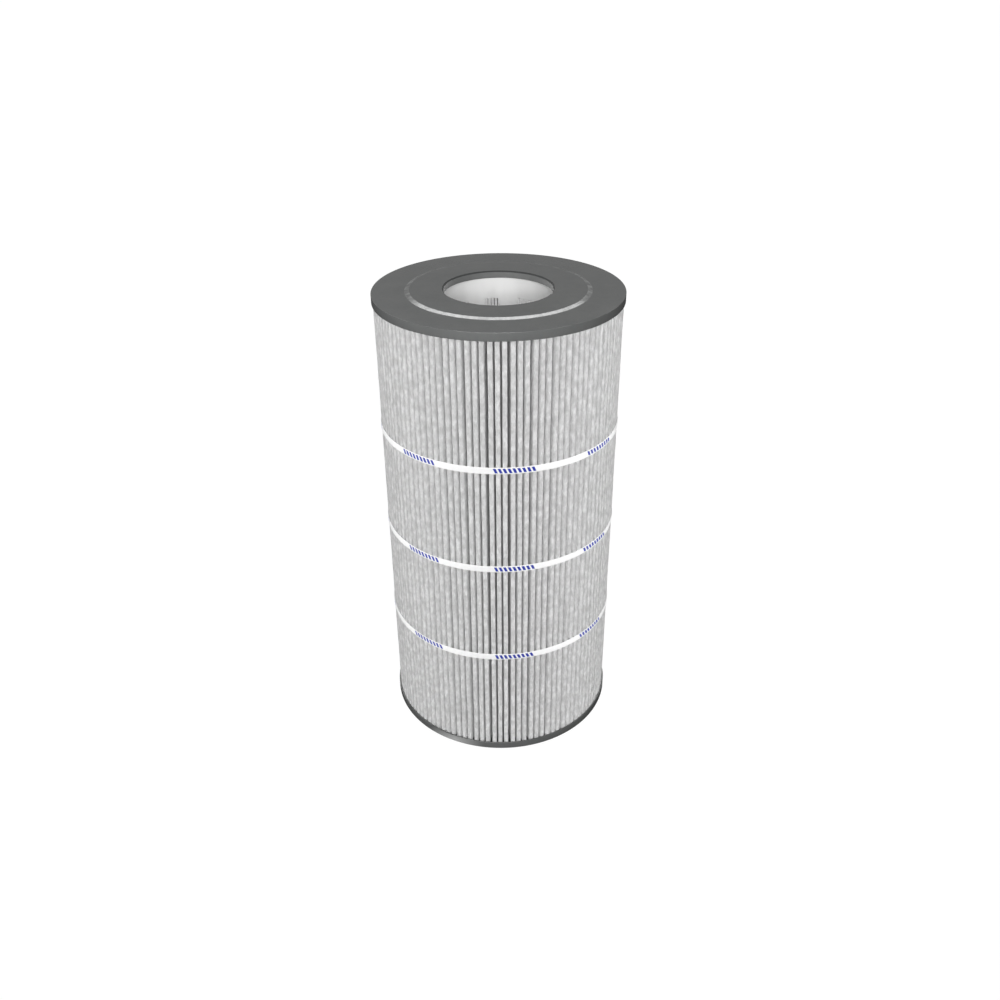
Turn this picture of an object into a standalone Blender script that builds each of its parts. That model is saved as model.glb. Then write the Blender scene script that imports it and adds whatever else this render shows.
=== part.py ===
"""Pleated cartridge element for a pool or spa filter, modelled piece by piece.

Run it with: blender --background --python part.py
Lengths are metres. +Z runs up the cartridge's axis, the origin is the centre of the
bottom seating face, and the front of the cartridge faces -Y.
"""

import math

import bmesh
import bpy
from mathutils import Matrix

# Whole cartridge: length between the two seating faces, and the hole for the standpipe
OVERALL_LENGTH = 0.4483
BORE_DIAMETER = 0.0984

# Clearance left between pieces that seat in or against each other
SEAT_GAP = 0.0003

# End caps: a cast channel with an outer skirt round the pleats and a collar in the core
CAP_DIAMETER = 0.2270
CAP_RIM_HEIGHT = 0.0075
CAP_SKIRT_WALL = 0.0010
CAP_PLATE = 0.0028
CAP_EDGE_BREAK = 0.0006
BORE_EDGE_BREAK = 0.0014
LAND_HEIGHT = 0.0012
LAND_DIAMETER = 0.1596
LAND_SLOPE = 0.0042
COLLAR_WALL = 0.0016
COLLAR_DEPTH = 0.0026

# Core: equal moulded sections, each with a spigot on top and a socket underneath, and with
# windows turned a little from the front
CORE_SECTIONS = 3
CORE_WALL = 0.0026
SPIGOT_LENGTH = 0.0050
HOOP_HEIGHT = 0.0176
RING_HEIGHT = 0.0060
RIB_WIDTH = 0.0162
WINDOW_COLUMNS = 10
WINDOW_ROWS = 3
WINDOW_TURN = math.radians(7.0)

# Filter media: one long sheet folded into pleats, set a little wider apart after each group
PLEAT_COUNT = 111
PLEATS_PER_GROUP = 3
MEDIA_THICKNESS = 0.0006
FOLD_WIDTH = 0.0041
FOLD_ROUNDING = 0.0011
GROUP_GAP_EXTRA = 0.0010

# Seam at the back, where a channel strip grips the two ends of the sheet
SEAM_ANGLE = math.radians(181.1)
CLIP_WALL = 0.0006
CLIP_DEPTH = 0.0110

# Retaining bands: thin straps with a lapped end, the middle one a little below mid-length
BAND_NAMES = ("lower_retaining_band", "middle_retaining_band", "upper_retaining_band")
BAND_WIDTH = 0.0064
BAND_THICKNESS = 0.0004
BAND_SPACING = 0.1016
BAND_DROP = 0.0031
BAND_LAP = 0.0260
BAND_LAP_RAMP = 0.0060
BAND_LAP_GAP = 0.0001

# Facets round each kind of turned piece
CAP_FACETS = 54
CORE_FACETS = 36
BAND_FACETS = 54

COLLECTION_NAME = "filter_cartridge"
CUTTER_COLLECTION_NAME = "filter_cartridge_cutters"
SMOOTH_ANGLE = math.radians(35.0)
MERGE_DISTANCE = 0.00001

# Radii and levels that follow from the sizes above
CAP_RADIUS = CAP_DIAMETER / 2
BORE_RADIUS = BORE_DIAMETER / 2
SKIRT_INNER_RADIUS = CAP_RADIUS - CAP_SKIRT_WALL
PLEAT_RADIUS = SKIRT_INNER_RADIUS * math.cos(math.pi / CAP_FACETS) - SEAT_GAP
COLLAR_RADIUS = BORE_RADIUS + COLLAR_WALL
CORE_INNER_RADIUS = (COLLAR_RADIUS + SEAT_GAP) / math.cos(math.pi / CORE_FACETS)
CORE_OUTER_RADIUS = CORE_INNER_RADIUS + CORE_WALL
CHANNEL_DEPTH = LAND_HEIGHT + CAP_PLATE
END_LEVEL = CHANNEL_DEPTH + SEAT_GAP
MEDIA_LENGTH = OVERALL_LENGTH - 2 * END_LEVEL


def clear_scene():
    """Remove every object that the scene starts with."""
    for scene_object in list(bpy.data.objects):
        bpy.data.objects.remove(scene_object, do_unlink=True)


def make_collection(name):
    """Return a new collection linked to the scene."""
    collection = bpy.data.collections.new(name)
    bpy.context.scene.collection.children.link(collection)
    return collection


def make_material(name, colour, roughness, metallic=0.0):
    """Return a Principled material of one colour."""
    material = bpy.data.materials.new(name)
    material.use_nodes = True
    shader = material.node_tree.nodes["Principled BSDF"]
    shader.inputs["Base Color"].default_value = (*colour, 1.0)
    shader.inputs["Roughness"].default_value = roughness
    shader.inputs["Metallic"].default_value = metallic
    material.diffuse_color = (*colour, 1.0)
    return material


def polar(radius, angle):
    """Return x and y at an angle that is measured from the front, turning towards +X."""
    return radius * math.sin(angle), -radius * math.cos(angle)


def beside(radius, angle, offset):
    """Return x and y at a radius on a radial line, moved sideways off that line."""
    x, y = polar(radius, angle)
    return x + offset * math.cos(angle), y + offset * math.sin(angle)


def finished_mesh(source, name):
    """Return the evaluated mesh of an object, welded and shaded smooth, and remove the object."""
    depsgraph = bpy.context.evaluated_depsgraph_get()
    mesh = bpy.data.meshes.new_from_object(source.evaluated_get(depsgraph))
    bpy.data.objects.remove(source, do_unlink=True)
    work = bmesh.new()
    work.from_mesh(mesh)
    bmesh.ops.remove_doubles(work, verts=work.verts, dist=MERGE_DISTANCE)
    work.to_mesh(mesh)
    work.free()
    mesh.name = name
    mesh.shade_smooth()
    mesh.set_sharp_from_angle(angle=SMOOTH_ANGLE)
    return mesh


def place(name, mesh, material, collection, height, turned_over=False):
    """Put a mesh in the scene as a named piece at a height on the axis."""
    piece = bpy.data.objects.new(name, mesh)
    piece.location = (0.0, 0.0, height)
    if turned_over:
        piece.rotation_euler = (math.pi, 0.0, 0.0)
    if material.name not in mesh.materials:
        mesh.materials.clear()
        mesh.materials.append(material)
    collection.objects.link(piece)
    return piece


def turned_object(name, profile, facets, collection):
    """Return a ring turned about the axis from a closed profile of radius and height."""
    mesh = bpy.data.meshes.new(name)
    work = bmesh.new()
    corners = [work.verts.new((radius, 0.0, height)) for radius, height in profile]
    for corner, following in zip(corners, corners[1:] + corners[:1]):
        work.edges.new((corner, following))
    work.to_mesh(mesh)
    work.free()
    ring = bpy.data.objects.new(name, mesh)
    collection.objects.link(ring)
    screw = ring.modifiers.new("Turn", "SCREW")
    screw.axis = "Z"
    screw.angle = math.tau
    screw.steps = facets
    screw.render_steps = facets
    screw.use_merge_vertices = True
    screw.merge_threshold = MERGE_DISTANCE
    return ring


def strip_object(name, path, height, thickness, collection):
    """Return a standing strip of even thickness along a path in the XY plane."""
    curve = bpy.data.curves.new(name, "CURVE")
    curve.dimensions = "2D"
    curve.fill_mode = "NONE"
    curve.extrude = height / 2
    spline = curve.splines.new("POLY")
    spline.points.add(len(path) - 1)
    for point, (x, y) in zip(spline.points, path):
        point.co = (x, y, 0.0, 1.0)
    strip = bpy.data.objects.new(name, curve)
    collection.objects.link(strip)
    wall = strip.modifiers.new("Wall", "SOLIDIFY")
    wall.thickness = thickness
    wall.offset = 0.0
    wall.use_even_offset = True
    return strip


def extruded_object(name, outline, height, collection):
    """Return a prism from a closed outline in the XY plane, centred on its height."""
    curve = bpy.data.curves.new(name, "CURVE")
    curve.dimensions = "2D"
    curve.fill_mode = "BOTH"
    curve.extrude = height / 2
    spline = curve.splines.new("POLY")
    spline.points.add(len(outline) - 1)
    for point, (x, y) in zip(spline.points, outline):
        point.co = (x, y, 0.0, 1.0)
    spline.use_cyclic_u = True
    prism = bpy.data.objects.new(name, curve)
    collection.objects.link(prism)
    return prism


def end_cap_mesh(collection):
    """Return the end cap with its seating land at zero height and its channel below.

    The profile runs from the bore's top edge out over the raised land, down its slope and
    the rim, and back along the channel that holds the pleat ends and the core's end.
    """
    annulus = -LAND_HEIGHT
    rim_foot = annulus - CAP_RIM_HEIGHT
    channel = -CHANNEL_DEPTH
    collar_foot = channel - COLLAR_DEPTH
    land_radius = LAND_DIAMETER / 2
    profile = [
        (BORE_RADIUS, -BORE_EDGE_BREAK),
        (BORE_RADIUS + BORE_EDGE_BREAK, 0.0),
        (land_radius, 0.0),
        (land_radius + LAND_SLOPE, annulus),
        (CAP_RADIUS - CAP_EDGE_BREAK, annulus),
        (CAP_RADIUS, annulus - CAP_EDGE_BREAK),
        (CAP_RADIUS, rim_foot),
        (SKIRT_INNER_RADIUS, rim_foot),
        (SKIRT_INNER_RADIUS, channel),
        (COLLAR_RADIUS, channel),
        (COLLAR_RADIUS, collar_foot),
        (BORE_RADIUS, collar_foot),
    ]
    return finished_mesh(turned_object("end_cap", profile, CAP_FACETS, collection), "end_cap")


def window_cutter(shoulder, foot, collection):
    """Return the cutter for every window of one core section, set out in rows and columns."""
    rings = (WINDOW_ROWS - 1) * RING_HEIGHT
    window_height = (shoulder - foot - 2 * HOOP_HEIGHT - rings) / WINDOW_ROWS
    pitch_angle = math.tau / WINDOW_COLUMNS
    window_width = CORE_INNER_RADIUS * pitch_angle - RIB_WIDTH
    reach = 3 * CORE_WALL
    middle_radius = (CORE_INNER_RADIUS + CORE_OUTER_RADIUS) / 2
    mesh = bpy.data.meshes.new("window_cutter")
    work = bmesh.new()
    for row in range(WINDOW_ROWS):
        level = foot + HOOP_HEIGHT + window_height / 2 + row * (window_height + RING_HEIGHT)
        for column in range(WINDOW_COLUMNS):
            angle = WINDOW_TURN + column * pitch_angle
            x, y = polar(middle_radius, angle)
            size = Matrix.Diagonal((window_width, reach, window_height, 1.0))
            turn = Matrix.Rotation(angle, 4, "Z")
            bmesh.ops.create_cube(work, matrix=Matrix.Translation((x, y, level)) @ turn @ size)
    work.to_mesh(mesh)
    work.free()
    cutter = bpy.data.objects.new("window_cutter", mesh)
    cutter.hide_render = True
    cutter.display_type = "WIRE"
    collection.objects.link(cutter)
    return cutter


def core_section_mesh(pitch, collection, cutters):
    """Return one core section standing on its socket end, with its spigot on top.

    Args:
        pitch: distance from this section's foot to the next one's.
    """
    foot = 0.0
    shoulder = pitch - SEAT_GAP
    top = shoulder + SPIGOT_LENGTH
    socket_roof = SPIGOT_LENGTH + SEAT_GAP
    facet_shrink = math.cos(math.pi / CORE_FACETS)
    spigot_radius = (CORE_INNER_RADIUS + CORE_OUTER_RADIUS - SEAT_GAP) / 2
    socket_radius = spigot_radius + SEAT_GAP / facet_shrink
    profile = [
        (CORE_INNER_RADIUS, top),
        (spigot_radius, top),
        (spigot_radius, shoulder),
        (CORE_OUTER_RADIUS, shoulder),
        (CORE_OUTER_RADIUS, foot),
        (socket_radius, foot),
        (socket_radius, socket_roof),
        (CORE_INNER_RADIUS, socket_roof),
    ]
    tube = turned_object("core_section", profile, CORE_FACETS, collection)
    cutter = window_cutter(shoulder, foot, cutters)
    cut = tube.modifiers.new("Windows", "BOOLEAN")
    cut.operation = "DIFFERENCE"
    cut.solver = "EXACT"
    cut.object = cutter
    return finished_mesh(tube, "core_section")


def pleat_angles():
    """Return the middle angle of each pleat, in order from the seam pleat round to it again."""
    fold = FOLD_WIDTH / PLEAT_RADIUS
    extra = GROUP_GAP_EXTRA / PLEAT_RADIUS
    groups = PLEAT_COUNT // PLEATS_PER_GROUP
    gap = (math.tau - PLEAT_COUNT * fold - groups * extra) / PLEAT_COUNT
    angles = []
    angle = SEAM_ANGLE
    for pleat in range(PLEAT_COUNT):
        angles.append(angle)
        ends_group = pleat % PLEATS_PER_GROUP == PLEATS_PER_GROUP - 1
        angle += fold + gap + (extra if ends_group else 0.0)
    return angles


def media_path():
    """Return the middle line of the folded sheet, from one end at the seam to the other."""
    outer = PLEAT_RADIUS - MEDIA_THICKNESS / 2
    inner = CORE_OUTER_RADIUS + SEAT_GAP + MEDIA_THICKNESS / 2
    half_fold = (FOLD_WIDTH - MEDIA_THICKNESS) / 2
    quarter_pitch = math.tau / PLEAT_COUNT / 4
    seam_end = PLEAT_RADIUS - CLIP_WALL - SEAT_GAP
    seam_side = (MEDIA_THICKNESS + SEAT_GAP) / 2
    clip_foot = PLEAT_RADIUS - CLIP_DEPTH
    seam, *pleats = pleat_angles()
    path = [
        beside(seam_end, seam, seam_side),
        beside(clip_foot, seam, seam_side),
        polar(inner, seam + quarter_pitch),
    ]
    for angle in pleats:
        path += [
            polar(inner, angle - quarter_pitch),
            beside(outer - FOLD_ROUNDING, angle, -half_fold),
            beside(outer, angle, FOLD_ROUNDING - half_fold),
            beside(outer, angle, half_fold - FOLD_ROUNDING),
            beside(outer - FOLD_ROUNDING, angle, half_fold),
            polar(inner, angle + quarter_pitch),
        ]
    path += [
        polar(inner, seam - quarter_pitch),
        beside(clip_foot, seam, -seam_side),
        beside(seam_end, seam, -seam_side),
    ]
    return path


def media_mesh(collection):
    """Return the pleated sheet, centred on its length."""
    sheet = strip_object("media", media_path(), MEDIA_LENGTH, MEDIA_THICKNESS, collection)
    return finished_mesh(sheet, "pleated_media")


def seam_clip_mesh(collection):
    """Return the channel strip over the two ends of the sheet, centred on its length."""
    inside = MEDIA_THICKNESS + 1.5 * SEAT_GAP
    outside = inside + CLIP_WALL
    crown = PLEAT_RADIUS
    roof = crown - CLIP_WALL
    foot = crown - CLIP_DEPTH
    corners = [
        (foot, inside),
        (roof, inside),
        (roof, -inside),
        (foot, -inside),
        (foot, -outside),
        (crown, -outside),
        (crown, outside),
        (foot, outside),
    ]
    outline = [beside(radius, SEAM_ANGLE, offset) for radius, offset in corners]
    clip = extruded_object("seam_clip", outline, MEDIA_LENGTH, collection)
    return finished_mesh(clip, "media_seam_clip")


def band_path():
    """Return the middle line of a strap: once round the pleats, then up over its own start."""
    radius = (PLEAT_RADIUS + SEAT_GAP) / math.cos(math.pi / BAND_FACETS) + BAND_THICKNESS / 2
    lift = BAND_THICKNESS + BAND_LAP_GAP
    ramp = BAND_LAP_RAMP / radius
    lap = BAND_LAP / radius
    start = SEAM_ANGLE - lap / 2
    step = (math.tau - ramp) / BAND_FACETS
    path = [polar(radius, start + index * step) for index in range(BAND_FACETS + 1)]
    lap_angles = [index * step for index in range(math.ceil(lap / step))] + [lap]
    path += [polar(radius + lift, start + angle) for angle in lap_angles]
    return path


def band_mesh(collection):
    """Return one retaining strap, centred on its width."""
    strap = strip_object("band", band_path(), BAND_WIDTH, BAND_THICKNESS, collection)
    return finished_mesh(strap, "retaining_band")


def build_caps(collection):
    """Place the two identical end caps, the lower one turned over."""
    grey = make_material("cap_resin", (0.150, 0.155, 0.155), 0.38)
    mesh = end_cap_mesh(collection)
    place("top_end_cap", mesh, grey, collection, OVERALL_LENGTH)
    place("bottom_end_cap", mesh, grey, collection, 0.0, turned_over=True)


def build_core(collection, cutters):
    """Stack the core sections between the caps, each spigot in the socket above it."""
    white = make_material("core_plastic", (0.80, 0.80, 0.79), 0.42)
    pitch = (MEDIA_LENGTH - SPIGOT_LENGTH + SEAT_GAP) / CORE_SECTIONS
    mesh = core_section_mesh(pitch, collection, cutters)
    for section in range(CORE_SECTIONS):
        name = f"core_section_{section + 1}"
        place(name, mesh, white, collection, END_LEVEL + section * pitch)


def build_media(collection):
    """Place the pleated sheet and the strip that closes its seam."""
    fabric = make_material("media_fabric", (0.72, 0.72, 0.71), 0.85)
    plastic = make_material("seam_plastic", (0.82, 0.82, 0.81), 0.45)
    middle = OVERALL_LENGTH / 2
    place("pleated_media", media_mesh(collection), fabric, collection, middle)
    place("media_seam_clip", seam_clip_mesh(collection), plastic, collection, middle)


def build_bands(collection):
    """Place the retaining straps at even spacing."""
    white = make_material("band_polymer", (0.90, 0.90, 0.90), 0.50)
    mesh = band_mesh(collection)
    middle = OVERALL_LENGTH / 2 - BAND_DROP
    for index, name in enumerate(BAND_NAMES):
        level = middle + (index - (len(BAND_NAMES) - 1) / 2) * BAND_SPACING
        place(name, mesh, white, collection, level)


def main():
    """Build the whole cartridge."""
    clear_scene()
    collection = make_collection(COLLECTION_NAME)
    cutters = make_collection(CUTTER_COLLECTION_NAME)
    build_caps(collection)
    build_core(collection, cutters)
    build_media(collection)
    build_bands(collection)


if __name__ == "__main__":
    main()
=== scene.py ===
"""Looks of a pleated pool filter cartridge: its modelled pieces, finishes, studio and camera.

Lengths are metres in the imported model's frame: +Z up the cartridge's axis, its foot at zero,
and the viewer on the -Y side. Angles round the axis start at the front and turn towards +X.
"""

import logging
import math
import random
from collections.abc import Callable, Iterator, Sequence
from contextlib import contextmanager
from dataclasses import dataclass, field
from enum import Enum
from itertools import pairwise

import bmesh
import bpy
from mathutils import Euler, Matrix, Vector


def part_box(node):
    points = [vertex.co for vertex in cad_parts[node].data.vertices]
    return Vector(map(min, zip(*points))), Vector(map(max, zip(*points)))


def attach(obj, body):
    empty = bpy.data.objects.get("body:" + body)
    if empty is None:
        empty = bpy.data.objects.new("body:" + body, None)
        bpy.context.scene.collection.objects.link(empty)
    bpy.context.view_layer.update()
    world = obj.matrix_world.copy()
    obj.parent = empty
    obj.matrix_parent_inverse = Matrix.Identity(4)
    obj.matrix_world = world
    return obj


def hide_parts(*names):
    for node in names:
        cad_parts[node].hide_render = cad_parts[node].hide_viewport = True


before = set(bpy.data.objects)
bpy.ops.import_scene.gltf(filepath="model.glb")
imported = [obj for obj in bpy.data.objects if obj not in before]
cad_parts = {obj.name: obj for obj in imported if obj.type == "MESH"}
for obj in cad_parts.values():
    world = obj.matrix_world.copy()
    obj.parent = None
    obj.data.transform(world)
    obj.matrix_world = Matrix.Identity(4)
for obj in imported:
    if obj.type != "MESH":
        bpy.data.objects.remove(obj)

Piece = bpy.types.Object
Socket = bpy.types.NodeSocket
Triple = tuple[float, float, float]
Range = tuple[float, float]

LOG = logging.getLogger("filter_cartridge")
BODY = "root"
FOLD_DEPTH = "fold_depth"
MERGE_DISTANCE = 0.000002
PLACE_TOLERANCE = 0.00002
SMOOTH_ANGLE = math.radians(38.0)
EDGE_ANGLE = math.radians(50.0)
CORNER_ANGLE = math.radians(60.0)
WHITE = (1.0, 1.0, 1.0, 1.0)

# The least part of a normal along an axis that it faces, and the most upward part on an upright wall
FACING = 0.9
UPRIGHT = 0.5

# Sockets of a Mix node that carry its colours
MIX_FIRST = 6
MIX_SECOND = 7
MIX_RESULT = 2

# Most values of a noise lie in this range
NOISE_RANGE = (0.3, 0.7)

# Where the seam, the pleats' crests and the first printed mark lie
SEAM_ANGLE = math.radians(181.1)
PLEAT_RADIUS = 0.1120
FIRST_MARK_ANGLE = math.radians(6.6)


class Slot(Enum):
    """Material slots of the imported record."""

    CAP = "cap_resin"
    CORE = "core_plastic"
    MEDIA = "media_fabric"
    SEAM = "seam_plastic"
    BAND = "band_polymer"


OUTER_SLOTS = (Slot.MEDIA, Slot.SEAM, Slot.BAND)


class End(Enum):
    """The two ends of the cartridge, each with the node of its cap."""

    TOP = "top_end_cap"
    BOTTOM = "bottom_end_cap"


class Tier(Enum):
    """The three retaining straps, each with its node."""

    UPPER = "upper_retaining_band"
    MIDDLE = "middle_retaining_band"
    LOWER = "lower_retaining_band"


class Element(Enum):
    """The parts of a mesh that a selection is made of."""

    EDGE = "EDGE"
    FACE = "FACE"


@dataclass(frozen=True)
class Ring:
    """One circle of a turned profile."""

    radius: float
    level: float


@dataclass(frozen=True)
class Mottle:
    """One noise: features per metre, octaves of finer noise, and the strength of the finer noise."""

    scale: float
    detail: float = 3.0
    roughness: float = 0.5


@dataclass(frozen=True)
class Relief:
    """One surface relief: its height in metres, and how far it is felt."""

    height: float
    strength: float


def polar(radius: float, angle: float) -> tuple[float, float]:
    """Return x and y at an angle that is measured from the front, turning towards +X."""
    return radius * math.sin(angle), -radius * math.cos(angle)


def beside(radius: float, angle: float, offset: float) -> tuple[float, float]:
    """Return x and y at a radius on a radial line, moved sideways off that line."""
    x, y = polar(radius, angle)
    return x + offset * math.cos(angle), y + offset * math.sin(angle)


class Bench:
    """Modelling steps that several pieces share."""

    @staticmethod
    def clear_selection() -> None:
        """Leave edit mode and deselect every object."""
        if bpy.context.mode != "OBJECT":
            bpy.ops.object.mode_set(mode="OBJECT")
        bpy.ops.object.select_all(action="DESELECT")

    @staticmethod
    def take(piece: Piece) -> None:
        """Make one object the only selected and active one.

        Args:
            piece: the object to take.
        """
        Bench.clear_selection()
        piece.select_set(True)
        bpy.context.view_layer.objects.active = piece

    @staticmethod
    @contextmanager
    def editing(piece: Piece) -> Iterator[None]:
        """Hold a piece in edit mode with all of it selected.

        Args:
            piece: the mesh object to edit.
        """
        Bench.take(piece)
        bpy.ops.object.mode_set(mode="EDIT")
        bpy.ops.mesh.select_all(action="SELECT")
        yield
        bpy.ops.object.mode_set(mode="OBJECT")

    @staticmethod
    def pick(piece: Piece, element: Element, wanted: Callable[..., bool]) -> None:
        """Select the edges or faces of a piece in edit mode that pass a test.

        Args:
            piece: the object in edit mode.
            element: whether edges or faces are picked.
            wanted: the test of one edge or face.
        """
        bpy.ops.mesh.select_mode(type=element.value)
        bpy.ops.mesh.select_all(action="DESELECT")
        work = bmesh.from_edit_mesh(piece.data)
        parts = work.edges if element is Element.EDGE else work.faces
        for part in [part for part in parts if wanted(part)]:
            part.select_set(True)
        bmesh.update_edit_mesh(piece.data)

    @staticmethod
    def round_ring(piece: Piece, ring: Ring, width: float, segments: int) -> None:
        """Bevel the circle of edges at one ring of a turned piece in edit mode.

        Args:
            piece: the turned object.
            ring: where the circle lies.
            width: the bevel's width along each face.
            segments: the bevel's number of steps.
        """

        def on_ring(edge: bmesh.types.BMEdge) -> bool:
            """Tell whether both ends of an edge lie on the ring."""
            return all(
                abs(math.hypot(vert.co.x, vert.co.y) - ring.radius) < PLACE_TOLERANCE
                and abs(vert.co.z - ring.level) < PLACE_TOLERANCE
                for vert in edge.verts
            )

        Bench.pick(piece, Element.EDGE, on_ring)
        bpy.ops.mesh.bevel(offset=width, offset_type="OFFSET", segments=segments, affect="EDGES")

    @staticmethod
    def turned(name: str, profile: Sequence[Ring], segments: int) -> Piece:
        """Model a turned ring by extruding a circle along a closed profile.

        Args:
            name: the new object's name.
            profile: the rings in order, the last joining the first.
            segments: the number of steps round the axis.

        Returns:
            The new object, at the origin.
        """
        Bench.clear_selection()
        bpy.ops.mesh.primitive_circle_add(vertices=segments, radius=profile[0].radius)
        piece = bpy.context.active_object
        piece.name = name
        with Bench.editing(piece):
            bpy.ops.transform.translate(value=(0.0, 0.0, profile[0].level))
            for here, there in pairwise([*profile, profile[0]]):
                rise = (0.0, 0.0, there.level - here.level)
                bpy.ops.mesh.extrude_edges_move(TRANSFORM_OT_translate={"value": rise})
                grow = there.radius / here.radius
                centre = (0.0, 0.0, there.level)
                bpy.ops.transform.resize(value=(grow, grow, 1.0), center_override=centre)
            bpy.ops.mesh.select_all(action="SELECT")
            bpy.ops.mesh.remove_doubles(threshold=MERGE_DISTANCE)
            bpy.ops.mesh.normals_make_consistent(inside=False)
        return piece

    @staticmethod
    def flat_grid(name: str, columns: int, rows: int) -> Piece:
        """Add a flat grid, a metre square, for a sheet or ribbon that is wrapped later.

        Args:
            name: the new object's name.
            columns: the number of steps along it.
            rows: the number of steps across it.

        Returns:
            The new object, at the origin.
        """
        Bench.clear_selection()
        bpy.ops.mesh.primitive_grid_add(x_subdivisions=columns, y_subdivisions=rows, size=1.0)
        grid = bpy.context.active_object
        grid.name = name
        return grid

    @staticmethod
    def lay_out(piece: Piece, cells: Sequence[tuple[float, float]]) -> None:
        """Set a piece's UV map from one flat place for each of its points.

        Args:
            piece: the object with a UV map.
            cells: the flat place of each point, in metres.
        """
        layer = piece.data.uv_layers.active.data
        for loop in piece.data.loops:
            layer[loop.index].uv = cells[loop.vertex_index]

    @staticmethod
    def apply(piece: Piece, kind: str, **settings: object) -> None:
        """Add a modifier, set it and apply it.

        Args:
            piece: the object to modify.
            kind: the modifier's type.
            settings: the modifier's properties by name.
        """
        Bench.take(piece)
        modifier = piece.modifiers.new(kind.title(), kind)
        for key, value in settings.items():
            setattr(modifier, key, value)
        bpy.ops.object.modifier_apply(modifier=modifier.name)

    @staticmethod
    def thicken(piece: Piece, thickness: float, offset: float) -> None:
        """Give a sheet its thickness: all inwards at an offset of -1, and to both sides alike at 0."""
        Bench.apply(piece, "SOLIDIFY", thickness=thickness, offset=offset, use_even_offset=True)

    @staticmethod
    def round_edges(piece: Piece, width: float, segments: int) -> None:
        """Bevel every sharp edge of a piece.

        Args:
            piece: the object to bevel.
            width: the bevel's width.
            segments: the bevel's number of steps.
        """
        Bench.apply(piece, "BEVEL", width=width, segments=segments, limit_method="ANGLE",
                    angle_limit=EDGE_ANGLE)

    @staticmethod
    def face_outwards(piece: Piece) -> None:
        """Turn every face of a closed piece outwards."""
        with Bench.editing(piece):
            bpy.ops.mesh.normals_make_consistent(inside=False)

    @staticmethod
    def smooth(piece: Piece) -> None:
        """Shade a piece smooth, with its sharper edges kept."""
        Bench.take(piece)
        bpy.ops.object.shade_smooth_by_angle(angle=SMOOTH_ANGLE)

    @staticmethod
    def finish(piece: Piece, material: bpy.types.Material, slot: Slot, *nodes: str) -> None:
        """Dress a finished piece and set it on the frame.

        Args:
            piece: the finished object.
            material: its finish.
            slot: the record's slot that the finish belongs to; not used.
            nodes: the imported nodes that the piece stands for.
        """
        piece.data.materials.clear()
        piece.data.materials.append(material)
        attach(piece, BODY)
        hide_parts(*nodes)
        triangles = sum(len(face.vertices) - 2 for face in piece.data.polygons)
        LOG.info("%s: %d triangles for %s", piece.name, triangles, ", ".join(nodes))


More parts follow.
